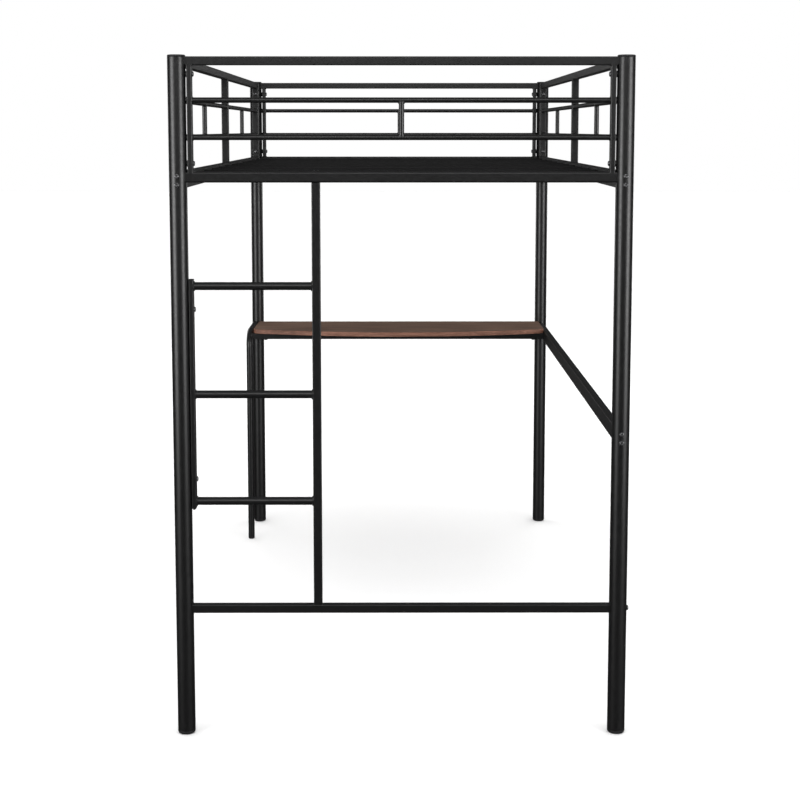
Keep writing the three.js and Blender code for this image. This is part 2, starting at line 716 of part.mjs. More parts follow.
function addOtherFasteners() {
  const group = section();
  const throughPost = POST_DIAMETER + GAP + NUT_PLATE.depth + NUT_PLATE.thickness;
  const lowerBolt = plateBoltsSolid(throughPost, [[0, 0]], squarePlate(LOWER_RAIL.size, throughPost));
  addPart(group, 'lower_rail_bolt', lowerBolt, 'bolts', (mesh) => {
    pointHead(mesh, [1, 0, 0], [POST_X + POST_RADIUS + GAP, -POST_Y, LOWER_RAIL.z]);
  });
  const throughRail = DESK_SIDE_RAIL.width + GAP + NUT_PLATE.depth;
  const deskBolt = plateBoltsSolid(throughRail, [[0, 0]], squarePlate(DESK_RAIL.size, throughRail));
  for (const row of ['front', 'back']) {
    addPart(group, `desk_frame_bolt_${row}`, deskBolt, 'bolts', (mesh) => {
      const x = POST_X + DESK_SIDE_RAIL.width / 2 + GAP;
      pointHead(mesh, [1, 0, 0], [x, DESK_RAIL[`${row}_y`], DESK_RAIL.top - DESK_RAIL.size / 2]);
    });
  }
  const discDiameter = LEG.diameter - 2 * TUBE_WALL - 4 * GAP;
  const discMiddle = [LEG.x - LEG_BOLT_X, 0, -throughPost + NUT_PLATE.thickness];
  const disc = rod('z', discMiddle, NUT_PLATE.thickness, discDiameter);
  addPart(group, 'desk_leg_bolt', plateBoltsSolid(throughPost, [[0, 0]], disc), 'bolts', (mesh) => {
    mesh.rotation.x = -Math.PI / 2;
    mesh.position.set(LEG_BOLT_X, POST_Y + POST_RADIUS + GAP, LEG.top_z);
  });
  const screw = boltSolid(DESK_RAIL.size + GAP * 2 + SCREW.into_board, { kind: SCREW });
  for (const { name, x, y } of boardScrewPlaces()) {
    addPart(group, name, screw, 'bolts', (mesh) => {
      pointHead(mesh, [0, 0, -1], [x, y, DESK_RAIL.top - DESK_RAIL.size - GAP]);
    });
  }
}

addPosts();
addBedFrame();
addFootEnd();
addDesk();
addRailBolts();
addGuardBolts();
addLadderBolts();
addOtherFasteners();

export default bed;
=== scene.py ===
"""Looks for a metal loft bed with a desk: fine meshes with welds, plugs and bolts, and materials.

Every piece is built in millimetres in the frame's own axes and stands for one CAD node.
"""

import math

import bmesh
import bpy
from mathutils import Matrix, Vector, noise


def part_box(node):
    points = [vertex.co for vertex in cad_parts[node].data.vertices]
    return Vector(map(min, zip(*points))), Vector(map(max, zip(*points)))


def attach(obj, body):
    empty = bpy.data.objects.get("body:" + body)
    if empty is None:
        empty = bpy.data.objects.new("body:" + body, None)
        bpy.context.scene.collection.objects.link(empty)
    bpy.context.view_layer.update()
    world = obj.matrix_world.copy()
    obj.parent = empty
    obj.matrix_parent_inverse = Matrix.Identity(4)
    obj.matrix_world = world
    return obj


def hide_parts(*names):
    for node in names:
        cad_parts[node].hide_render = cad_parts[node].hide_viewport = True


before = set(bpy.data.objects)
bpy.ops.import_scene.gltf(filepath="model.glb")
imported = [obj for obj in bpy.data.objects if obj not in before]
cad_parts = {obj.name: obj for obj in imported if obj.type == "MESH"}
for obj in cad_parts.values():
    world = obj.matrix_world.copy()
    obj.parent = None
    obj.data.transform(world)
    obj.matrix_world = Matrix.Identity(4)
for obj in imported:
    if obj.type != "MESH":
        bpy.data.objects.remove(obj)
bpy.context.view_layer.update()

MM = 0.001

# Sizes inside the welded pieces, which the nodes' boxes don't give, in millimetres.
BAR_DIAMETER = 12.7
BAR_WALL = 1
TUBE_WALL = 1.2
GUARD_BAR_HEIGHTS = (1427, 1512.5)
GUARD_BOLT_HEIGHTS = (1367, 1572)
TOP_RAIL_SIZE = 20
END_RAIL_HEIGHT = 25
END_RAIL_CORNER = 4
SIDE_RAIL_HEIGHT = 40
UPRIGHT_WIDTH = 12
UPRIGHT_DEPTH = 20
UPRIGHT_INSET = 29.5
POST_CLEARANCE = 0.3
RUNG_DIAMETER = 19
RUNG_HEIGHTS = (569.25, 825.5, 1081.75)
LADDER_STRIP_WIDTH = 11
LADDER_STRIP_BELOW = 73
LADDER_STRIP_ABOVE = 71
LADDER_RAIL_X = -198.7
LADDER_RAIL_SIZE = 20
HOOK_THICKNESS = 3
HOOK_WIDTH = 14
HOOK_EDGE = 0.6
HOOK_REACH = 14
HOOK_BELOW_RAIL = 50
HOOK_WELD = 40
STUB_WIDTH = 17
TONGUE_LENGTH = 33
TONGUE_WIDTH = 12
TONGUE_THICKNESS = 5
BOARD_BOW = 80
BOARD_CORNER = 20
DESK_RAIL_YS = (744, 915)
DESK_RAIL_SIZE = 20
LEG_DIAMETER = 22
LEG_BEND = 50
LEG_TOP = 738
LEG_BOLT_OFFSET = 5.5
SLAT_PLUG_WIDTH = 25
SLAT_PLUG_IN_SLAT = 20
BOLT_PAIR_SPACING = 20
BOLT_SHANK = 6
BOLT_HEAD = 12.5
BOLT_HEAD_HEIGHT = 3.8
BOLT = (BOLT_HEAD, BOLT_HEAD_HEIGHT, BOLT_SHANK)
SCREW_SHANK = 5
SCREW = (12, 3.5, SCREW_SHANK)
SOCKET_FLATS = 4.6
HOLE_SPARE = 1
NUT_FLATS = 10
NUT_HEIGHT = 8
THREAD_PAST_NUT = 1
PLATE_THICKNESS = 4
THREAD_PAST_PLATE = 2
TUBE_LESS_PLATE = 2 * TUBE_WALL + 2 * POST_CLEARANCE
NUT_STRIP_WIDTH = 11
NUT_STRIP_PAST_BOLT = 10

# How far cutting shapes stand past what they cut.
CUT_PAST = 2

# Eased edges and weld beads.
TUBE_CORNER = 2.2
BEAD_RADIUS = 2.1
LADDER_BEAD_RADIUS = 2.8
SHORTEST_BEAD = 4
BEAD_RIPPLE = 2.3

# How finely things are cut.
POST_SIDES = 72
BAR_SIDES = 32
HOLE_SIDES = 16
HEAD_SIDES = 36
BEAD_SIDES = 8
BEAD_STEP = 0.75

# Material indices that tell a weldment's layers and beads apart while they are joined.
MARKS = 6

AXES = {"x": Vector((1, 0, 0)), "y": Vector((0, 1, 0)), "z": Vector((0, 0, 1))}
NEXT_AXIS = {"x": "y", "y": "z", "z": "x"}


def node_box(node):
    """The lowest and highest corners of a CAD node, in millimetres."""
    low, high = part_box(node)
    return low / MM, high / MM


def node_middle(node):
    low, high = node_box(node)
    return (low + high) / 2


# ---- Shapes. A shape is a closed surface as (points, faces), in millimetres.


def circle(diameter, sides):
    """Corners of a polygon whose own corners lie on the circle."""
    turn = 2 * math.pi / sides
    return [(diameter / 2 * math.cos(i * turn), diameter / 2 * math.sin(i * turn)) for i in range(sides)]


def rounded_rectangle(width, height, radius, steps=5):
    points = []
    for quarter, (right, up) in enumerate(((1, 1), (-1, 1), (-1, -1), (1, -1))):
        middle = (right * (width / 2 - radius), up * (height / 2 - radius))
        for i in range(steps + 1):
            angle = math.pi / 2 * (quarter + i / steps)
            points.append((middle[0] + radius * math.cos(angle), middle[1] + radius * math.sin(angle)))
    return points


def skin(rings, closed=False):
    """A closed surface through rings of points. Its ends are flat, unless the last ring joins
    the first."""
    count = len(rings[0])
    points = [Vector(point) for ring in rings for point in ring]
    faces = []
    pairs = len(rings) if closed else len(rings) - 1
    for i in range(pairs):
        start = i * count
        end = (i + 1) % len(rings) * count
        for j in range(count):
            k = (j + 1) % count
            faces.append((start + j, start + k, end + k, end + j))
    if not closed:
        faces.append(tuple(reversed(range(count))))
        faces.append(tuple(range(len(points) - count, len(points))))
    return points, faces


def along_axis(section, axis, middle):
    """A section's points across an axis. Its first direction is the next axis in the order
    x, y, z."""
    across = AXES[NEXT_AXIS[axis]]
    up = AXES[NEXT_AXIS[NEXT_AXIS[axis]]]
    return [Vector(middle) + across * a + up * b for a, b in section]


def prism(section, axis, middle, length):
    half = AXES[axis] * (length / 2)
    middle = Vector(middle)
    return skin([along_axis(section, axis, middle - half), along_axis(section, axis, middle + half)])


def rod(axis, middle, length, diameter, sides=BAR_SIDES):
    return prism(circle(diameter, sides), axis, middle, length)


def block(axis, middle, length, size, corner=TUBE_CORNER):
    """A rectangular bar. size is its two widths in the order x, y, z, leaving out its axis."""
    width, height = reversed(size) if axis == "y" else size
    return prism(rounded_rectangle(width, height, corner), axis, middle, length)


def square_tube(axis, middle, length, size, wall=TUBE_WALL, corner=TUBE_CORNER):
    """A rectangular tube as (outside, bore)."""
    inner = [value - 2 * wall for value in size]
    outside = block(axis, middle, length, size, corner)
    bore = block(axis, middle, length + 1, inner, corner - wall / 2)
    return outside, bore


def round_tube(axis, middle, length, diameter, wall=BAR_WALL):
    outside = rod(axis, middle, length, diameter)
    bore = rod(axis, middle, length + 1, diameter - 2 * wall)
    return outside, bore


def swept(stations, radius, sides):
    """A round bar along (point, tangent, side) stations."""
    rings = []
    for point, tangent, side in stations:
        other = tangent.cross(side)
        ring = [point + side * a + other * b for a, b in circle(2 * radius, sides)]
        rings.append(ring)
    return skin(rings)


def turned(profile, sides=POST_SIDES):
    """A surface turned about local z from (radius, height) points, without its points on z."""
    return skin([[(r * a, r * b, z) for a, b in circle(2, sides)] for r, z in profile])


def arc(middle, radius, start, end, steps):
    """Points of an arc between two angles in degrees."""
    points = []
    for i in range(steps + 1):
        angle = math.radians(start + (end - start) * i / steps)
        points.append((middle[0] + radius * math.cos(angle), middle[1] + radius * math.sin(angle)))
    return points


def placed(shape, matrix):
    points, faces = shape
    return [matrix @ point for point in points], faces


def pointing(direction, origin):
    """The matrix that turns local z to a direction and moves the origin."""
    turn = Vector((0, 0, 1)).rotation_difference(Vector(direction)).to_matrix().to_4x4()
    return Matrix.Translation(Vector(origin)) @ turn


# ---- Meshes and joins


def add_object(name, data):
    made = bpy.data.objects.new(name, data)
    bpy.context.scene.collection.objects.link(made)
    return made


def mesh_object(name, shapes, mark=0):
    """One object from several shapes, in metres, with every face marked by a material index."""
    points, faces = [], []
    for shape_points, shape_faces in shapes:
        start = len(points)
        points += [point * MM for point in shape_points]
        faces += [tuple(start + corner for corner in face) for face in shape_faces]
    mesh = bpy.data.meshes.new(name)
    mesh.from_pydata(points, [], faces)
    for _ in range(MARKS):
        mesh.materials.append(None)
    mesh.polygons.foreach_set("material_index", [mark] * len(faces))
    mesh.update()
    return add_object(name, mesh)


def apply_modifiers(thing):
    graph = bpy.context.evaluated_depsgraph_get()
    mesh = bpy.data.meshes.new_from_object(thing.evaluated_get(graph))
    thing.modifiers.clear()
    old = thing.data
    thing.data = mesh
    bpy.data.meshes.remove(old)


def combine(thing, shapes, operation, mark=0):
    """Adds shapes to an object or cuts them from it."""
    if not shapes:
        return
    other = mesh_object("other", shapes, mark)
    modifier = thing.modifiers.new("combine", "BOOLEAN")
    modifier.operation = operation
    modifier.solver = "MANIFOLD"
    modifier.object = other
    apply_modifiers(thing)
    mesh = other.data
    bpy.data.objects.remove(other)
    bpy.data.meshes.remove(mesh)


def seams(mesh):
    """The lines where marks meet, as (points, normals, closed). Each normal comes with a bend:
    1 where the faces meet at a right angle and 0 where they are flush."""
    work = bmesh.new()
    work.from_mesh(mesh)
    edges = set()
    for edge in work.edges:
        faces = edge.link_faces
        if len(faces) == 2 and faces[0].material_index != faces[1].material_index:
            edges.add(edge)
    around = {}
    for edge in edges:
        for vertex in edge.verts:
            around.setdefault(vertex, []).append(edge)

    def open_edges(vertex):
        return [edge for edge in around[vertex] if edge in edges]

    lines = []
    while edges:
        ends = [vertex for edge in edges for vertex in edge.verts if len(open_edges(vertex)) != 2]
        first_edge = min(edges, key=lambda edge: edge.index)
        start = min(ends or [first_edge.verts[0]], key=lambda vertex: vertex.index)
        chain = [start]
        normals = []
        here = start
        while True:
            onward = open_edges(here)
            if not onward or len(chain) > 1 and (here is start or len(around[here]) > 2):
                break
            edge = min(onward, key=lambda edge: edge.index)
            edges.discard(edge)
            first, second = (face.normal for face in edge.link_faces)
            normals.append(((first + second).normalized(), 1 - max(0.0, first.dot(second))))
            here = edge.other_vert(here)
            chain.append(here)
        closed = here is start and len(chain) > 3
        points = [vertex.co / MM for vertex in chain]
        lines.append((points, normals, closed))
    work.free()
    return lines


def resampled(points, normals, closed):
    """Even samples [point, normal, bend] of a line, and its length."""
    lengths = [0.0]
    for a, b in zip(points, points[1:]):
        lengths.append(lengths[-1] + (b - a).length)
    total = lengths[-1]
    count = max(6, round(total / BEAD_STEP))
    samples = []
    segment = 0
    for i in range(count if closed else count + 1):
        place = total * i / count
        while segment < len(points) - 2 and lengths[segment + 1] < place:
            segment += 1
        span = lengths[segment + 1] - lengths[segment]
        part = (place - lengths[segment]) / span if span > 0 else 0
        normal, bend = normals[segment]
        samples.append([points[segment].lerp(points[segment + 1], part), normal, bend])
    return samples, total


def smoothed(values, closed, rounds):
    for _ in range(rounds):
        last = len(values) - 1
        result = []
        for i, value in enumerate(values):
            before = values[i - 1] if i or closed else value
            after = values[(i + 1) % len(values)] if i < last or closed else value
            result.append(before * 0.25 + value * 0.5 + after * 0.25)
        values = result
    return values


def bead(line, radius):
    """A bead of weld along a seam: a rippled bar that sinks in where the faces are flush."""
    flush_size = 0.55
    ripple_depth = 0.07
    lump_depth = 0.16
    lumps_per_mm = 0.31
    sink = 0.72
    end_size = 0.35
    growth = 0.3
    points, normals, closed = line
    samples, total = resampled(points, normals, closed)
    if total < SHORTEST_BEAD:
        return None
    places = smoothed([sample[0] for sample in samples], closed, 3)
    outward = smoothed([sample[1] for sample in samples], closed, 4)
    bends = smoothed([sample[2] for sample in samples], closed, 6)
    rings = []
    count = len(samples)
    for i in range(count):
        before = places[i - 1] if i or closed else places[i]
        after = places[(i + 1) % count] if i < count - 1 or closed else places[i]
        tangent = (after - before).normalized()
        side = outward[i] - tangent * outward[i].dot(tangent)
        side.normalize()
        other = tangent.cross(side)
        bend = min(1.0, bends[i])
        ripple = ripple_depth * math.sin(2 * math.pi * i * BEAD_STEP / BEAD_RIPPLE)
        lump = lump_depth * noise.noise(places[i] * lumps_per_mm)
        size = radius * (flush_size + (1 - flush_size) * bend) * (1 + ripple + lump)
        if not closed:
            size *= min(1.0, end_size + growth * min(i, count - 1 - i))
        middle = places[i] - side * size * sink * (1 - bend)
        rings.append([middle + side * a + other * b for a, b in circle(2 * size, BEAD_SIDES)])
    return skin(rings, closed)


def smooth_faces(thing, angle):
    """Smooth shading that keeps flats flat and edges over an angle in degrees sharp."""
    mesh = thing.data
    work = bmesh.new()
    work.from_mesh(mesh)
    bmesh.ops.remove_doubles(work, verts=work.verts, dist=0.00001)
    bmesh.ops.dissolve_degenerate(work, edges=work.edges, dist=0.000005)
    work.to_mesh(mesh)
    work.free()
    mesh.shade_smooth()
    mesh.set_sharp_from_angle(angle=math.radians(angle))
    modifier = thing.modifiers.new("normals", "WEIGHTED_NORMAL")
    modifier.keep_sharp = True
    apply_modifiers(thing)


def finish_piece(thing, node, material, angle=38):
    """Shades a piece, gives it its material and slot, hides the CAD node it stands for and hangs it
    under the root body.
    """
    smooth_faces(thing, angle)
    thing.data.materials.clear()
    thing.data.materials.append(material)
    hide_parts(node)
    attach(thing, "root")


def weldment(node, layers, bores=(), posts=(), cuts=(), extras=(), bead_radius=BEAD_RADIUS):
    """A welded piece. Shapes in one layer don't touch, and a bead runs where two layers meet.
    Bores, room for the posts and cuts come out afterwards, and extras go on last."""
    thing = mesh_object(f"{node}_fine", layers[0], 0)
    for mark, layer in enumerate(layers[1:], 1):
        combine(thing, layer, "UNION", mark)
    beads = [bead(line, bead_radius) for line in seams(thing.data)]
    combine(thing, [shape for shape in beads if shape], "UNION", MARKS - 1)
    for layer in bores:
        combine(thing, layer, "DIFFERENCE")
    combine(thing, [post_room(corner) for corner in posts], "DIFFERENCE")
    combine(thing, cuts, "DIFFERENCE")
    for extra in extras:
        combine(thing, [extra], "UNION")
    finish_piece(thing, node, STEEL)


# ---- Materials


class Nodes:
    """A node tree, with short ways to add nodes to it."""

    def __init__(self, tree):
        self.tree = tree

    def put(self, value, socket):
        """Sets a socket to a value, or links it to another node's output."""
        if isinstance(value, bpy.types.NodeSocket):
            self.tree.links.new(value, socket)
        elif socket.type == "RGBA":
            socket.default_value = (*value, 1)
        else:
            socket.default_value = value

    def node(self, kind, settings=None, **inputs):
        made = self.tree.nodes.new(kind)
        for key, value in (settings or {}).items():
            setattr(made, key, value)
        for key, value in inputs.items():
            self.put(value, made.inputs[key.replace("_", " ")])
        return made

    def scaled(self, factor, low, high, start=0.3, end=0.7):
        """A factor from start to end as a value from low to high."""
        made = self.node("ShaderNodeMapRange", Value=factor, From_Min=start, From_Max=end,
                         To_Min=low, To_Max=high)
        return made.outputs["Result"]


class Shader(Nodes):
    """A material's nodes."""

    def __init__(self, name, roughness, metallic=0.0, specular=0.5):
        self.material = bpy.data.materials.new(name)
        self.material.use_nodes = True
        super().__init__(self.material.node_tree)
        self.surface = self.tree.nodes["Principled BSDF"]
        self.surface.inputs["Roughness"].default_value = roughness
        self.surface.inputs["Metallic"].default_value = metallic
        self.surface.inputs["Specular IOR Level"].default_value = specular
        self.place = self.node("ShaderNodeTexCoord").outputs["Object"]

    def link(self, source, name):
        self.tree.links.new(source, self.surface.inputs[name])

    def stretched(self, scale):
        """Places in the piece, scaled along x, y and z, for grain."""
        return self.node("ShaderNodeMapping", Vector=self.place, Scale=scale).outputs["Vector"]

    def noise(self, scale, detail, roughness=0.5, place=None):
        made = self.node("ShaderNodeTexNoise", Vector=place or self.place, Scale=scale, Detail=detail,
                         Roughness=roughness)
        return made.outputs["Fac"]

    def ramp(self, factor, stops):
        made = self.node("ShaderNodeValToRGB", Fac=factor)
        elements = made.color_ramp.elements
        while len(elements) < len(stops):
            elements.new(0.5)
        for element, (position, colour) in zip(elements, stops):
            element.position = position
            element.color = (*colour, 1)
        return made.outputs["Color"]

    def mix(self, factor, first, second):
        made = self.node("ShaderNodeMix", {"data_type": "RGBA"})
        sockets = [socket for socket in made.inputs if socket.enabled]
        for value, socket in zip((factor, first, second), sockets):
            self.put(value, socket)
        return next(socket for socket in made.outputs if socket.enabled)

    def math(self, operation, *values, kind="ShaderNodeMath"):
        made = self.node(kind, {"operation": operation})
        for value, socket in zip(values, made.inputs):
            self.put(value, socket)
        return made.outputs["Value"]

    def edges(self, radius):
        """Near 1 on edges and corners, and 0 on flats."""
        rounded = self.node("ShaderNodeBevel", {"samples": 6}, Radius=radius).outputs["Normal"]
        plain = self.node("ShaderNodeNewGeometry").outputs["Normal"]
        match = self.math("DOT_PRODUCT", rounded, plain, kind="ShaderNodeVectorMath")
        return self.scaled(match, 1, 0, 0.7, 0.99)

    def rubbed_edges(self, radius, scale, detail, start, end, most=1):
        """Patchy wear along edges, from 0 to most."""
        patches = self.scaled(self.noise(scale, detail), 0, most, start, end)
        return self.math("MULTIPLY", self.edges(radius), patches)

    def bump(self, height, distance, strength, under=None):
        made = self.node("ShaderNodeBump", Height=height, Distance=distance, Strength=strength)
        if under is not None:
            self.tree.links.new(under, made.inputs["Normal"])
        return made.outputs["Normal"]


def powder_coat(name, dark, light, roughness, specular):
    """Satin black powder coat: orange peel, cloudy tone, and a paler rubbed tone on edges."""
    shader = Shader(name, roughness, 0.0, specular)
    cloud = shader.noise(7, 3)
    grain = shader.noise(420, 2)
    tone = shader.math("MULTIPLY_ADD", cloud, 0.7, shader.math("MULTIPLY", grain, 0.3))
    base = shader.ramp(tone, ((0.3, dark), (0.7, light)))
    rub = shader.rubbed_edges(0.0012, 60, 4, 0.45, 0.7, most=0.5)
    worn = tuple(value * 2.6 for value in light)
    shader.link(shader.mix(rub, base, worn), "Base Color")
    shader.link(shader.scaled(shader.noise(95, 3), roughness - 0.035, roughness + 0.045), "Roughness")
    peel = shader.bump(shader.noise(520, 2), 0.00004, 0.18)
    speck = shader.bump(shader.scaled(shader.noise(1500, 1), 0, 1, 0.6, 0.8), 0.00002, 0.12, peel)
    shader.link(speck, "Normal")
    return shader.material


def black_oxide():
    """Bolt steel: dark metal with finer, brighter rubbed edges."""
    shader = Shader("black_oxide", roughness=0.25, metallic=0.9)
    dark, light, worn = (0.15, 0.15, 0.154), (0.25, 0.25, 0.256), (0.42, 0.42, 0.425)
    base = shader.ramp(shader.noise(300, 4), ((0.3, dark), (0.7, light)))
    rub = shader.rubbed_edges(0.0006, 700, 3, 0.35, 0.65)
    shader.link(shader.mix(rub, base, worn), "Base Color")
    shader.link(shader.scaled(shader.noise(900, 2), 0.18, 0.3), "Roughness")
    shader.link(shader.bump(shader.noise(1400, 2), 0.00002, 0.2), "Normal")
    return shader.material


def moulded_plastic():
    """Black plastic with a fine spark-eroded grain."""
    shader = Shader("black_plastic", roughness=0.5)
    dark, light, worn = (0.011, 0.011, 0.012), (0.018, 0.018, 0.019), (0.05, 0.05, 0.052)
    base = shader.ramp(shader.noise(25, 3), ((0.3, dark), (0.7, light)))
    scuff = shader.rubbed_edges(0.0008, 180, 3, 0.5, 0.75)
    shader.link(shader.mix(scuff, base, worn), "Base Color")
    shader.link(shader.scaled(shader.noise(140, 2), 0.44, 0.58), "Roughness")
    shader.link(shader.bump(shader.noise(2200, 1), 0.00003, 0.3), "Normal")
    return shader.material


def wood(name, dark, middle, light, roughness):
    """Printed wood grain along x: broad bands, fine fibres and short pores."""
    shader = Shader(name, roughness, 0.0, 0.35)
    warp = shader.noise(2.2, 3, place=shader.stretched((0.8, 3, 3)))
    bands = shader.noise(9, 5, 0.62, place=shader.stretched((0.55, 6.5, 6.5)))
    fibres = shader.noise(160, 3, 0.55, place=shader.stretched((0.06, 1.6, 1.6)))
    detail = shader.math("MULTIPLY_ADD", fibres, 0.26, shader.math("MULTIPLY", warp, 0.12))
    tone = shader.math("MULTIPLY_ADD", bands, 0.62, detail)
    base = shader.ramp(tone, ((0.34, dark), (0.5, middle), (0.66, light)))
    pores = shader.noise(520, 2, place=shader.stretched((0.05, 1, 1)))
    pore = shader.scaled(pores, 0, 1, 0.62, 0.7)
    deep = tuple(value * 0.45 for value in dark)
    grained = shader.mix(shader.math("MULTIPLY", pore, 0.45), base, deep)
    rub = shader.rubbed_edges(0.0012, 45, 3, 0.4, 0.7, most=0.5)
    worn = tuple(value * 1.7 for value in light)
    shader.link(shader.mix(rub, grained, worn), "Base Color")
    shader.link(shader.scaled(fibres, roughness - 0.07, roughness + 0.09), "Roughness")
    relief = shader.bump(fibres, 0.00005, 0.3)
    shader.link(shader.bump(shader.math("SUBTRACT", 1.0, pore), 0.00005, 0.35, relief), "Normal")
    return shader.material


STEEL = powder_coat(
    "powder_coat", (0.0028, 0.0028, 0.003), (0.0046, 0.0046, 0.0049), roughness=0.36, specular=0.9)
SLAT_STEEL = powder_coat(
    "slat_powder_coat", (0.003, 0.003, 0.0031), (0.005, 0.005, 0.0052), roughness=0.5, specular=0.35)
FASTENER = black_oxide()
PLASTIC = moulded_plastic()
BOARD_TOP = wood(
    "board_laminate", (0.047, 0.027, 0.019), (0.105, 0.064, 0.046), (0.165, 0.105, 0.074), roughness=0.5)
BOARD_EDGE = wood(
    "board_edge_band", (0.095, 0.04, 0.024), (0.185, 0.083, 0.054), (0.3, 0.143, 0.095), roughness=0.46)


# ---- Posts

LADDER_BOLTS = ("ladder_bolt_lower", "ladder_bolt_upper")
SIDES = {"left": -1, "right": 1}
ENDS = {"foot": -1, "head": 1}
CORNERS = [(end, side) for end in ENDS for side in SIDES]

FIRST_POST = node_box("post_foot_left")
POST_DIAMETER = FIRST_POST[1].x - FIRST_POST[0].x
POST_WALL = 1.2
POST_X, POST_Y = -node_middle("post_foot_left").xy
SIDE_RAIL_Z = node_middle("left_side_frame_bolts_foot").z
TOP_RAIL_Z = node_box("foot_end_panel")[1].z - TOP_RAIL_SIZE / 2
END_RAIL_Z = node_box("foot_end_panel")[0].z + END_RAIL_HEIGHT / 2
LOWER_RAIL_Z = node_middle("lower_rail_bolt").z
DESK_SIDE_RAIL_Z = node_middle("desk_side_rail").z


def post_place(corner):
    end, side = corner
    return SIDES[side] * POST_X, ENDS[end] * POST_Y


def post_room(corner):
    """What a post takes out of a piece that meets it."""
    x, y = post_place(corner)
    middle = node_middle(f"post_{corner[0]}_{corner[1]}")
    return rod("z", (x, y, middle.z), 2000, POST_DIAMETER + 2 * POST_CLEARANCE, POST_SIDES)


def hole(axis, middle, length=POST_DIAMETER + 2 * CUT_PAST, diameter=BOLT_SHANK + HOLE_SPARE):
    return rod(axis, middle, length, diameter, HOLE_SIDES)


def pair_heights(z):
    return z - BOLT_PAIR_SPACING / 2, z + BOLT_PAIR_SPACING / 2


def post_holes(corner):
    """The bolt holes in a post, and the left foot post's hole for the lower rail's tongue."""
    end, side = corner
    x, y = post_place(corner)
    half = POST_DIAMETER / 2
    inner_x = x - SIDES[side] * half
    inner_y = y - ENDS[end] * half
    holes = [hole("y", (x, y, z)) for z in pair_heights(SIDE_RAIL_Z)]
    for z in GUARD_BOLT_HEIGHTS:
        holes.append(hole("x", (inner_x, y, z), half))
        holes.append(hole("y", (x, inner_y, z), half))
    if side == "right":
        holes += [hole("y", (x, y, z)) for z in pair_heights(DESK_SIDE_RAIL_Z)]
    if corner == ("foot", "right"):
        holes.append(hole("x", (x, y, LOWER_RAIL_Z)))
    if corner == ("foot", "left"):
        holes += [hole("x", (inner_x, y, node_middle(bolt).z), half) for bolt in LADDER_BOLTS]
        holes.append(lower_rail_tongue(node_box("lower_rail")[0].x, POST_CLEARANCE))
    if corner == ("head", "left"):
        holes.append(hole("y", (node_middle("desk_leg_bolt").x, y, LEG_TOP)))
    return holes


def build_post(corner):
    """A round tube with its end edges eased, capped by plugs."""
    node = f"post_{corner[0]}_{corner[1]}"
    x, y = post_place(corner)
    low, high = node_box(node)
    ease = 0.5
    outer = POST_DIAMETER / 2
    inner = outer - POST_WALL
    levels = [(outer - ease, low.z), (outer, low.z + ease), (outer, high.z - ease)]
    levels += [(outer - ease, high.z), (inner, high.z), (inner, low.z)]
    rings = [[(x + r * a, y + r * b, z) for a, b in circle(2, POST_SIDES)] for r, z in levels]
    thing = mesh_object(f"{node}_fine", [skin(rings, closed=True)])
    combine(thing, post_holes(corner), "DIFFERENCE")
    finish_piece(thing, node, STEEL)


def plug_profile(tube_diameter, wall, height, edge, depth):
    """A plug from its bottom to its head, for a tube whose end is at local z = 0."""
    r = tube_diameter / 2
    fit = r - wall - POST_CLEARANCE
    centre = 0.5
    lead_in = 1.5
    rib, rib_half = 0.25, 0.8
    lip = 0.4
    dish = 0.25
    profile = [(centre, -depth), (fit - lead_in, -depth), (fit - rib, lead_in - depth)]
    for i in range(1, 4):
        z = -depth + depth * i / 4
        profile += [(fit - rib, z - rib_half), (fit, z), (fit - rib, z + rib_half)]
    profile += [(fit - rib, 0), (r - lip, 0), (r, lip)]
    profile += arc((r - edge, height - edge), edge, 0, 90, 8)
    profile += [(r * 0.3, height), (r * 0.27, height - dish), (centre, height - dish)]
    return profile


def build_plug(node, tube_diameter, wall, height, edge, depth, upward):
    """A plastic plug in the end of a tube, with its head showing."""
    low, high = node_box(node)
    middle = (low + high) / 2
    z = high.z - height if upward else low.z + height
    shape = turned(plug_profile(tube_diameter, wall, height, edge, depth))
    matrix = pointing((0, 0, 1), (middle.x, middle.y, z))
    if not upward:
        matrix = matrix @ Matrix.Rotation(math.pi, 4, "X")
    thing = mesh_object(f"{node}_fine", [placed(shape, matrix)])
    finish_piece(thing, node, PLASTIC, angle=50)


def build_posts():
    for corner in CORNERS:
        name = f"{corner[0]}_{corner[1]}"
        build_post(corner)
        build_plug(f"post_cap_{name}", POST_DIAMETER, POST_WALL, 5, 3, 10, upward=True)
        build_plug(f"post_glide_{name}", POST_DIAMETER, POST_WALL, 8, 6, 22, upward=False)


# ---- Guards and deck

SLATS = [f"slat_{number:02d}" for number in range(1, 13)]


def split(tubes):
    """A list of some tubes' outsides and a list of their bores."""
    return [tube[0] for tube in tubes], [tube[1] for tube in tubes]


def boss(axis, outward, across, z):
    """A collar between an upright and a post. across is its place on the other level axis."""
    post = POST_X if axis == "x" else POST_Y
    length = UPRIGHT_INSET - UPRIGHT_WIDTH / 2
    along = outward * (post - (length + TUBE_WALL) / 2)
    middle = (along, across, z) if axis == "x" else (across, along, z)
    return rod(axis, middle, length, BOLT_HEAD - 0.1)


def spindle(x, y):
    low, high = GUARD_BAR_HEIGHTS
    return round_tube("z", (x, y, (low + high) / 2), high - low, BAR_DIAMETER)


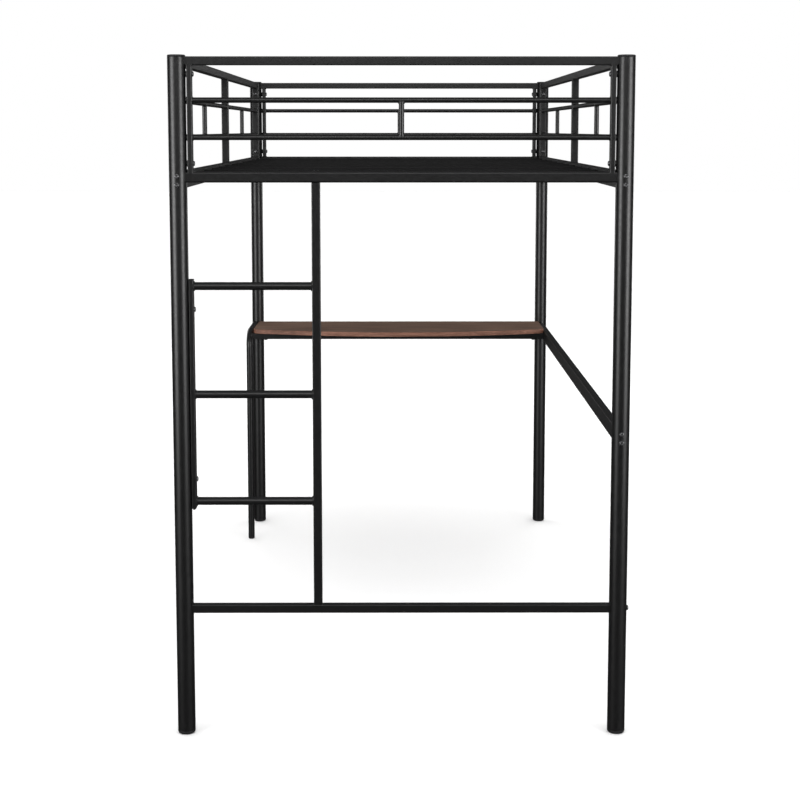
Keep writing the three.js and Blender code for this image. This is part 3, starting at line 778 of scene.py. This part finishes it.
def build_end_panel(end):
    y = ENDS[end] * POST_Y
    width = 2 * POST_X
    height = TOP_RAIL_Z - END_RAIL_Z
    middle_z = (TOP_RAIL_Z + END_RAIL_Z) / 2
    end_rail_size = (UPRIGHT_DEPTH, END_RAIL_HEIGHT)
    rails = [
        square_tube("x", (0, y, TOP_RAIL_Z), width, (TOP_RAIL_SIZE, TOP_RAIL_SIZE)),
        square_tube("x", (0, y, END_RAIL_Z), width, end_rail_size, corner=END_RAIL_CORNER),
    ]
    xs = [side * (POST_X - UPRIGHT_INSET) for side in (-1, 1)]
    size = (UPRIGHT_WIDTH, UPRIGHT_DEPTH)
    uprights = [square_tube("z", (x, y, middle_z), height, size) for x in xs]
    bars = [round_tube("x", (0, y, z), width, BAR_DIAMETER) for z in GUARD_BAR_HEIGHTS]
    bosses = [boss("x", side, y, z) for side in (-1, 1) for z in GUARD_BOLT_HEIGHTS]
    holes = [hole("x", (x, y, z), 3 * UPRIGHT_WIDTH) for x in xs for z in GUARD_BOLT_HEIGHTS]
    outsides, bores = zip(*(split(layer) for layer in (rails, uprights, bars, [spindle(0, y)])))
    posts = [corner for corner in CORNERS if corner[0] == end]
    weldment(f"{end}_end_panel", [*outsides, bosses], bores, posts, holes)


def build_side_frame(side):
    x = SIDES[side] * POST_X
    length = 2 * POST_Y
    height = TOP_RAIL_Z - SIDE_RAIL_Z
    middle_z = (TOP_RAIL_Z + SIDE_RAIL_Z) / 2
    rails = [
        square_tube("y", (x, 0, TOP_RAIL_Z), length, (TOP_RAIL_SIZE, TOP_RAIL_SIZE)),
        square_tube("y", (x, 0, SIDE_RAIL_Z), length, (TOP_RAIL_SIZE, SIDE_RAIL_HEIGHT)),
    ]
    ys = [end * (POST_Y - UPRIGHT_INSET) for end in (-1, 1)]
    size = (UPRIGHT_DEPTH, UPRIGHT_WIDTH)
    uprights = [square_tube("z", (x, y, middle_z), height, size) for y in ys]
    uprights.append(square_tube("z", (x, 0, middle_z), height, (TOP_RAIL_SIZE, TOP_RAIL_SIZE)))
    bars = [round_tube("y", (x, 0, z), length, BAR_DIAMETER) for z in GUARD_BAR_HEIGHTS]
    quarter = (length - POST_DIAMETER) / 4
    spindles = [spindle(x, end * quarter) for end in (-1, 1)]
    bosses = [boss("y", end, x, z) for end in (-1, 1) for z in GUARD_BOLT_HEIGHTS]
    holes = [hole("y", (x, y, z), 3 * UPRIGHT_WIDTH) for y in ys for z in GUARD_BOLT_HEIGHTS]
    slat_low, slat_high = node_box(SLATS[0])
    inner_wall = x - SIDES[side] * (TOP_RAIL_SIZE - TUBE_WALL) / 2
    slot_z = (slat_low.z + slat_high.z) / 2
    plug_height = slat_high.z - slat_low.z - 2 * BAR_WALL
    slot_size = (SLAT_PLUG_WIDTH + 2 * POST_CLEARANCE, plug_height + 2 * POST_CLEARANCE)
    slots = []
    for slat in SLATS:
        place = (inner_wall, node_middle(slat).y, slot_z)
        slots.append(block("x", place, 3 * TUBE_WALL, slot_size))
    outsides, bores = zip(*(split(layer) for layer in (rails, uprights, bars, spindles)))
    posts = [corner for corner in CORNERS if corner[1] == side]
    weldment(f"{side}_side_frame", [*outsides, bosses], bores, posts, [*holes, *slots])


def build_slat(node):
    """A flat tube with rounded edges and a plug in each end."""
    low, high = node_box(node)
    middle = (low + high) / 2
    half = POST_X - TOP_RAIL_SIZE / 2 - POST_CLEARANCE
    size = (high.y - low.y, high.z - low.z)
    tube = square_tube("x", middle, 2 * half, size, BAR_WALL, corner=3)
    plug_length = high.x - half + SLAT_PLUG_IN_SLAT
    plug_size = (SLAT_PLUG_WIDTH, size[1] - 2 * BAR_WALL)
    plugs = []
    for side in (-1, 1):
        place = (side * (half - SLAT_PLUG_IN_SLAT + plug_length / 2), middle.y, middle.z)
        plugs.append(block("x", place, plug_length, plug_size, corner=1.5))
    thing = mesh_object(f"{node}_fine", [tube[0]])
    combine(thing, [tube[1]], "DIFFERENCE")
    combine(thing, plugs, "UNION")
    finish_piece(thing, node, SLAT_STEEL)


def build_deck():
    for end in ENDS:
        build_end_panel(end)
    for side in SIDES:
        build_side_frame(side)
    for slat in SLATS:
        build_slat(slat)


# ---- Ladder and lower rail


def hook_finger(x, back, low, top):
    """A strip up the back of the end rail that bends forward over it."""
    bend = HOOK_THICKNESS
    steps = 6
    section = rounded_rectangle(HOOK_WIDTH / 3, HOOK_THICKNESS, HOOK_EDGE, 3)
    rings = []
    for z in (low, top - bend):
        rings.append([Vector((x + a, back + b, z)) for a, b in section])
    for i in range(1, steps + 1):
        angle = math.pi / 2 * i / steps
        y = back - bend * (1 - math.cos(angle))
        z = top - bend * (1 - math.sin(angle))
        out = Vector((0, math.cos(angle), math.sin(angle)))
        rings.append([Vector((x + a, y, z)) + out * b for a, b in section])
    end = back + HOOK_THICKNESS / 2 - HOOK_REACH
    rings.append([Vector((x + a, end, top + b)) for a, b in section])
    return skin(rings)


def ladder_hook(low, top):
    """The strap behind the long rail with its two fingers, and a bead down each side of it."""
    front = -POST_Y + UPRIGHT_DEPTH / 2 + POST_CLEARANCE
    middle_y = front + HOOK_THICKNESS / 2
    high = END_RAIL_Z
    section = rounded_rectangle(HOOK_WIDTH, HOOK_THICKNESS, HOOK_EDGE, 3)
    strap = prism(section, "z", (LADDER_RAIL_X, middle_y, (low + high) / 2), high - low)
    shapes = [strap]
    bead_diameter = 2.6
    for side in (-1, 1):
        finger_x = LADDER_RAIL_X + side * HOOK_WIDTH / 3
        shapes.append(hook_finger(finger_x, middle_y, high - HOOK_THICKNESS, top))
        bead_place = (LADDER_RAIL_X + side * HOOK_WIDTH / 2, front, low + HOOK_WELD / 2)
        shapes.append(rod("z", bead_place, HOOK_WELD, bead_diameter, 10))
    return shapes


def short_rail(x, y, low, high):
    """The ladder's short rail as (outside, bore). Its bottom end is closed and, seen from the
    front, round."""
    radius = LADDER_STRIP_WIDTH / 2
    steps = 8
    rings = []
    for i in range(1, steps + 1):
        angle = math.pi / 2 * i / steps
        half = radius * math.sin(angle)
        section = rounded_rectangle(2 * half, UPRIGHT_DEPTH, min(TUBE_CORNER, half * 0.9))
        rings.append(along_axis(section, "z", (x, y, low + radius * (1 - math.cos(angle)))))
    rings.append(along_axis(section, "z", (x, y, high)))
    bore_low = low + radius
    bore_size = (LADDER_STRIP_WIDTH - 2 * TUBE_WALL, UPRIGHT_DEPTH - 2 * TUBE_WALL)
    bore_middle = (x, y, (bore_low + high + 1) / 2)
    bore = block("z", bore_middle, high + 1 - bore_low, bore_size, TUBE_CORNER - TUBE_WALL / 2)
    return skin(rings), bore


def build_ladder():
    low, high = node_box("ladder")
    y = -POST_Y
    bolts = [node_middle(bolt).z for bolt in LADDER_BOLTS]
    strip_low = bolts[0] - LADDER_STRIP_BELOW
    strip_high = bolts[1] + LADDER_STRIP_ABOVE
    strip_x = low.x + LADDER_STRIP_WIDTH / 2
    rail_high = END_RAIL_Z - END_RAIL_HEIGHT / 2 - POST_CLEARANCE
    strip = short_rail(strip_x, y, strip_low, strip_high)
    rail_size = (LADDER_RAIL_SIZE, LADDER_RAIL_SIZE)
    rail = square_tube("z", (LADDER_RAIL_X, y, (low.z + rail_high) / 2), rail_high - low.z, rail_size)
    rung_length = LADDER_RAIL_X - strip_x
    rung_x = (LADDER_RAIL_X + strip_x) / 2
    rungs = [round_tube("x", (rung_x, y, z), rung_length, RUNG_DIAMETER) for z in RUNG_HEIGHTS]
    holes = [hole("x", (strip_x, y, z), 2 * LADDER_STRIP_WIDTH) for z in bolts]
    outsides, bores = zip(*(split(layer) for layer in ([strip, rail], rungs)))
    hook = ladder_hook(rail_high + POST_CLEARANCE - HOOK_BELOW_RAIL, high.z - HOOK_THICKNESS / 2)
    weldment("ladder", outsides, bores, (), holes, hook, LADDER_BEAD_RADIUS)


def build_lower_rail():
    """The cross rail, with a stub for the ladder's long rail and a tongue for the left post."""
    low, high = node_box("lower_rail")
    y = -POST_Y
    size = LADDER_RAIL_SIZE
    tube = square_tube("x", (0, y, LOWER_RAIL_Z), 2 * POST_X, (size, size))
    stub_low = LOWER_RAIL_Z + size / 2 - TUBE_WALL / 2
    stub_middle = (LADDER_RAIL_X, y, (stub_low + high.z) / 2)
    stub = square_tube("z", stub_middle, high.z - stub_low, (STUB_WIDTH, STUB_WIDTH))
    posts = [("foot", "left"), ("foot", "right")]
    weldment("lower_rail", [[tube[0]], [stub[0]]], [[tube[1]]], posts, extras=[lower_rail_tongue(low.x)])


def lower_rail_tongue(left, spare=0.0):
    """The flat bar on the floor of the lower rail's left end. spare makes it larger all round."""
    length = TONGUE_LENGTH + spare
    overlap = 0.4
    z = LOWER_RAIL_Z - LADDER_RAIL_SIZE / 2 + TUBE_WALL + TONGUE_THICKNESS / 2 - overlap
    size = (TONGUE_WIDTH + 2 * spare, TONGUE_THICKNESS + 2 * spare)
    return block("x", (left + length / 2, -POST_Y, z), length, size, corner=1)


# ---- Desk

SCREWS = [f"board_screw_{row}_{side}" for row in ("front", "back") for side in SIDES]


def board_outline(inset):
    """The board's outline from above, moved in by an inset: straight back and ends, round front
    corners and one shallow arc between them."""
    low, high = node_box("desk_board")
    corner_y = low.y + BOARD_BOW
    radius = BOARD_CORNER
    middle = (low.x + high.x) / 2
    to_corner = (high.x - low.x) / 2 - radius
    rise = corner_y + radius - low.y
    bow = (to_corner**2 + rise**2 - radius**2) / (2 * (rise - radius))
    turn = math.degrees(math.atan2(to_corner, bow - rise))
    left = arc((low.x + radius, corner_y + radius), radius - inset, 180, 270 - turn, 8)
    front = arc((middle, low.y + bow), bow - inset, 270 - turn, 270 + turn, 64)
    right = arc((high.x - radius, corner_y + radius), radius - inset, 270 + turn, 360, 8)
    back_left = (low.x + inset, high.y - inset)
    back_right = (high.x - inset, high.y - inset)
    return [back_left, *left, *front[1:-1], *right, back_right]


def build_board():
    """The board, with eased corners. Its edge band covers all but its level faces."""
    low, high = node_box("desk_board")
    ease = 1.2
    steps = 4
    profile = []
    for i in range(steps + 1):
        angle = math.pi / 2 * i / steps
        profile.append((ease * (1 - math.sin(angle)), low.z + ease * (1 - math.cos(angle))))
    profile += [(inset, high.z + low.z - z) for inset, z in reversed(profile)]
    rings = [[(x, y, z) for x, y in board_outline(inset)] for inset, z in profile]
    thing = mesh_object("desk_board_fine", [skin(rings)])
    holes = []
    for node in SCREWS:
        top = node_box(node)[1].z + HOLE_SPARE
        middle = (*node_middle(node).xy, (low.z + top) / 2 - CUT_PAST / 2)
        holes.append(hole("z", middle, top - low.z + CUT_PAST, SCREW_SHANK + HOLE_SPARE))
    combine(thing, holes, "DIFFERENCE")
    finish_piece(thing, "desk_board", BOARD_TOP)
    thing.data.materials.append(BOARD_EDGE)
    level = 0.95
    for face in thing.data.polygons:
        face.material_index = 0 if abs(face.normal.z) > level else 1


def leg_stations(bottom, end):
    """Up from the floor, a quarter bend, then level to the post."""
    middle = node_middle("desk_leg_glide")
    side = Vector((1, 0, 0))
    stations = [(Vector((middle.x, middle.y, bottom)), Vector((0, 0, 1)), side)]
    steps = 20
    for i in range(steps + 1):
        angle = math.pi / 2 * i / steps
        y = middle.y + LEG_BEND * (1 - math.cos(angle))
        z = LEG_TOP - LEG_BEND * (1 - math.sin(angle))
        tangent = Vector((0, math.sin(angle), math.cos(angle)))
        stations.append((Vector((middle.x, y, z)), tangent, side))
    stations.append((Vector((middle.x, end, LEG_TOP)), Vector((0, 1, 0)), side))
    return stations


def build_desk_frame():
    low, high = node_box("desk_frame")
    leg_x = node_middle("desk_leg_glide").x
    rail_top = node_box("desk_board")[0].z - POST_CLEARANCE
    z = rail_top - DESK_RAIL_SIZE / 2
    into_leg = 5
    left = leg_x + LEG_DIAMETER / 2 - into_leg
    length = high.x - left
    size = (DESK_RAIL_SIZE, DESK_RAIL_SIZE)
    rails = [square_tube("x", (left + length / 2, y, z), length, size) for y in DESK_RAIL_YS]
    leg = swept(leg_stations(low.z, POST_Y), LEG_DIAMETER / 2, 40)
    leg_bore = swept(leg_stations(low.z - 1, POST_Y + 1), LEG_DIAMETER / 2 - TUBE_WALL, 24)
    outsides, bores = split(rails)
    holes = []
    for node in SCREWS:
        place = (*node_middle(node).xy, z)
        holes.append(hole("z", place, DESK_RAIL_SIZE + CUT_PAST, SCREW_SHANK + HOLE_SPARE))
    weldment("desk_frame", [[leg], outsides], [[leg_bore], bores], [("head", "left")], holes)


def build_desk_side_rail():
    low, high = node_box("desk_side_rail")
    size = (high.x - low.x, high.z - low.z)
    tube = square_tube("y", (POST_X, 0, DESK_SIDE_RAIL_Z), 2 * POST_Y, size)
    posts = [corner for corner in CORNERS if corner[1] == "right"]
    bolt_z = node_middle("desk_frame_bolt_front").z
    holes = [hole("x", (POST_X, y, bolt_z), 1.5 * DESK_RAIL_SIZE) for y in DESK_RAIL_YS]
    weldment("desk_side_rail", [[tube[0]]], [[tube[1]]], posts, holes)


def build_desk():
    build_board()
    build_desk_frame()
    build_desk_side_rail()
    build_plug("desk_leg_glide", LEG_DIAMETER, TUBE_WALL, 6, 3, 15, upward=False)


# ---- Fasteners


def hex_ring(flats, z):
    """A hexagon of given width across flats, as points at even angles."""
    ring = []
    for i in range(HEAD_SIDES):
        angle = 2 * math.pi * i / HEAD_SIDES
        from_flat = (angle + math.pi / 6) % (math.pi / 3) - math.pi / 6
        r = flats / 2 / math.cos(from_flat)
        ring.append((r * math.cos(angle), r * math.sin(angle), z))
    return ring


def round_ring(radius, z):
    return [(radius * a, radius * b, z) for a, b in circle(2, HEAD_SIDES)]


def bolt_shape(length, head, height, shank):
    """A button-head bolt about local z, with a hex socket. Its head is above z = 0."""
    r = shank / 2
    rim = head / 2
    tip = 0.8
    fillet = 0.2
    edge = 0.25
    rings = [round_ring(r - tip, -length), round_ring(r, tip - length)]
    rings += [round_ring(r, -fillet), round_ring(r + fillet, 0)]
    rings += [round_ring(rim - edge, 0), round_ring(rim, edge)]
    dome_low = 0.8
    dome_top_radius = rim * 0.52
    dome_steps = 7
    rings.append(round_ring(rim, dome_low))
    for i in range(1, dome_steps + 1):
        angle = math.pi / 2 * i / dome_steps
        radius = dome_top_radius + (rim - dome_top_radius) * math.cos(angle)
        rings.append(round_ring(radius, dome_low + (height - dome_low) * math.sin(angle)))
    socket_depth = 2.3
    rings.append(round_ring(SOCKET_FLATS * 0.64, height))
    rings.append(hex_ring(SOCKET_FLATS * 1.02, height - 0.35))
    rings.append(hex_ring(SOCKET_FLATS, height - 0.5))
    rings.append(hex_ring(SOCKET_FLATS, height - socket_depth))
    rings.append(round_ring(0.3, height - socket_depth - 0.4))
    return skin(rings)


def nut_shape():
    """A hexagon nut with eased corners, standing on z = 0."""
    eased = NUT_FLATS / 2 - 0.3
    chamfer = 0.5
    return skin([
        round_ring(eased, 0),
        hex_ring(NUT_FLATS, chamfer),
        hex_ring(NUT_FLATS, NUT_HEIGHT - chamfer),
        round_ring(eased, NUT_HEIGHT),
    ])


def main_axis(direction):
    return max(range(3), key=lambda i: abs(direction[i]))


def build_fastener(node, direction, plate=None, offsets=((0, 0, 0),), kind=BOLT):
    """The bolts of one node and their plate or nut. The direction is from their tips to their
    heads, and offsets are their places from the node's middle."""
    head, head_height, shank = kind
    low, high = node_box(node)
    middle = (low + high) / 2
    direction = Vector(direction)
    axis = main_axis(direction)
    length = (high - low)[axis]
    shape = bolt_shape(length - head_height, head, head_height, shank)
    shapes = []
    for offset in offsets:
        origin = middle + Vector(offset)
        origin[axis] = (high[axis] if direction[axis] > 0 else low[axis]) - direction[axis] * head_height
        shapes.append(placed(shape, pointing(direction, origin)))
    thing = mesh_object(f"{node}_fine", shapes)
    if plate:
        combine(thing, [plate], "UNION")
    finish_piece(thing, node, FASTENER, angle=35)


def far_plate(node, direction, widths):
    """A nut plate near the tips of a node's bolts. widths are its two sizes in the order
    x, y, z, leaving out the bolts' axis."""
    low, high = node_box(node)
    middle = (low + high) / 2
    axis = main_axis(direction)
    tip = low[axis] if direction[axis] > 0 else high[axis]
    middle[axis] = tip + direction[axis] * (THREAD_PAST_PLATE + PLATE_THICKNESS / 2)
    return block("xyz"[axis], middle, PLATE_THICKNESS, widths, corner=1.2)


def vertical(spacing):
    """The places of two bolts, one above the other."""
    return [(0, 0, -spacing / 2), (0, 0, spacing / 2)]


def build_rail_bolts():
    inner = TOP_RAIL_SIZE - TUBE_LESS_PLATE
    desk_low, desk_high = node_box("desk_side_rail")
    rails = {
        "left_side_frame": SIDE_RAIL_HEIGHT,
        "right_side_frame": SIDE_RAIL_HEIGHT,
        "desk_side_rail": desk_high.z - desk_low.z,
    }
    for rail, height in rails.items():
        for end, outward in ENDS.items():
            node = f"{rail}_bolts_{end}"
            direction = (0, outward, 0)
            plate = far_plate(node, direction, (inner, height - TUBE_LESS_PLATE))
            build_fastener(node, direction, plate, vertical(BOLT_PAIR_SPACING))


def build_guard_bolts():
    spacing = GUARD_BOLT_HEIGHTS[1] - GUARD_BOLT_HEIGHTS[0]
    strip = (NUT_STRIP_WIDTH, spacing + 2 * NUT_STRIP_PAST_BOLT)
    for end, end_sign in ENDS.items():
        for side, side_sign in SIDES.items():
            node = f"{end}_panel_bolts_{side}"
            direction = (-side_sign, 0, 0)
            build_fastener(node, direction, far_plate(node, direction, strip), vertical(spacing))
            node = f"{side}_guard_bolts_{end}"
            direction = (0, -end_sign, 0)
            build_fastener(node, direction, far_plate(node, direction, strip), vertical(spacing))


def build_other_fasteners():
    right = (1, 0, 0)
    for node in LADDER_BOLTS:
        nut_x = node_box(node)[0].x + THREAD_PAST_NUT
        nut = placed(nut_shape(), pointing(right, (nut_x, *node_middle(node).yz)))
        build_fastener(node, right, nut)
    inner = DESK_RAIL_SIZE - TUBE_LESS_PLATE
    for node in ("lower_rail_bolt", "desk_frame_bolt_front", "desk_frame_bolt_back"):
        build_fastener(node, right, far_plate(node, right, (inner, inner)))
    build_leg_bolt()
    for node in SCREWS:
        build_fastener(node, (0, 0, -1), kind=SCREW)


def build_leg_bolt():
    """The bolt from the post's outer face into a disc inside the leg's end."""
    node = "desk_leg_bolt"
    middle = node_middle(node)
    leg_x = node_middle("desk_leg_glide").x
    disc_y = node_box(node)[0].y + THREAD_PAST_PLATE + PLATE_THICKNESS / 2
    disc_diameter = LEG_DIAMETER - 2 * TUBE_WALL - 1.3
    disc = rod("y", (leg_x, disc_y, LEG_TOP), PLATE_THICKNESS, disc_diameter)
    offset = (leg_x + LEG_BOLT_OFFSET - middle.x, 0, LEG_TOP - middle.z)
    build_fastener(node, (0, 1, 0), disc, [offset])


# ---- Room: floor, light and camera


def build_floor():
    """A plain pale floor, left out of reflections so that dark paint stays dark."""
    mesh = bpy.data.meshes.new("floor")
    half = 30
    corners = [(-half, -half, 0), (half, -half, 0), (half, half, 0), (-half, half, 0)]
    mesh.from_pydata(corners, [], [(0, 1, 2, 3)])
    floor = add_object("floor", mesh)
    shader = Shader("pale_floor", roughness=0.9, specular=0)
    stops = ((0.3, (0.93, 0.93, 0.93)), (0.7, (0.94, 0.94, 0.938)))
    shader.link(shader.ramp(shader.noise(0.7, 2), stops), "Base Color")
    mesh.materials.append(shader.material)
    floor.visible_glossy = False


def add_softbox(name, azimuth, elevation, distance, width, height, radiance):
    """A rectangular light that faces the middle of the bed. Azimuth 0 is in front of the foot
    end and 90 on the right."""
    target = Vector((0, 0, 0.85))
    a, e = math.radians(azimuth), math.radians(elevation)
    back = Vector((math.sin(a) * math.cos(e), -math.cos(a) * math.cos(e), math.sin(e)))
    light = bpy.data.lights.new(name, "AREA")
    light.shape = "RECTANGLE"
    light.size = width
    light.size_y = height
    light.energy = radiance * width * height * math.pi
    lamp = add_object(name, light)
    lamp.location = target + back * distance
    lamp.rotation_mode = "QUATERNION"
    lamp.rotation_quaternion = back.to_track_quat("Z", "Y")
    lamp.visible_camera = False


def light_room():
    """Low softboxes at the front corners for the two bright lines on every post, weaker ones
    behind, a panel above the camera, and an overhead light that keeps the floor white."""
    for side in (-1, 1):
        add_softbox(f"front_softbox_{side}", azimuth=48 * side, elevation=4, distance=5.6,
                    width=2.9, height=2.1, radiance=5)
        add_softbox(f"back_softbox_{side}", azimuth=145 * side, elevation=8, distance=5.6,
                    width=2, height=2.6, radiance=2)
    add_softbox("front_panel", azimuth=0, elevation=26, distance=6, width=3.2, height=1.6, radiance=2.6)
    sun = bpy.data.lights.new("overhead", "SUN")
    sun.energy = 3.25
    sun.angle = math.radians(90)
    add_object("overhead", sun).visible_glossy = False


def build_world():
    """White behind the bed. What the bed reflects is dark below and a dim ceiling above."""
    world = bpy.data.worlds.new("studio")
    bpy.context.scene.world = world
    world.use_nodes = True
    nodes = Nodes(world.node_tree)
    place = nodes.node("ShaderNodeTexCoord").outputs["Generated"]
    upward = nodes.node("ShaderNodeSeparateXYZ", Vector=place).outputs["Z"]
    ceiling = nodes.scaled(upward, 0.03, 0.17, end=0.9)
    white = (1, 1, 1)
    around = nodes.node("ShaderNodeBackground", Color=white, Strength=ceiling)
    seen = nodes.node("ShaderNodeBackground", Color=white)
    by_camera = nodes.node("ShaderNodeLightPath").outputs["Is Camera Ray"]
    mix = nodes.node("ShaderNodeMixShader", Fac=by_camera)
    nodes.put(around.outputs["Background"], mix.inputs[1])
    nodes.put(seen.outputs["Background"], mix.inputs[2])
    output = nodes.tree.nodes["World Output"]
    nodes.put(mix.outputs["Shader"], output.inputs["Surface"])


def add_camera():
    """Stands past the foot end at about the height of the mattress, looking along the bed."""
    bpy.context.scene.view_settings.view_transform = "Standard"
    data = bpy.data.cameras.new("camera")
    data.lens = 66.37
    data.shift_y = -0.137
    camera = add_object("camera", data)
    camera.location = (-0.01375, -4.3958, 1.4446)
    camera.rotation_euler = (math.pi / 2 - 0.10849, 0, -0.00302)
    bpy.context.scene.camera = camera


build_posts()
build_deck()
build_ladder()
build_lower_rail()
build_desk()
build_rail_bolts()
build_guard_bolts()
build_other_fasteners()
build_floor()
light_room()
build_world()
add_camera()
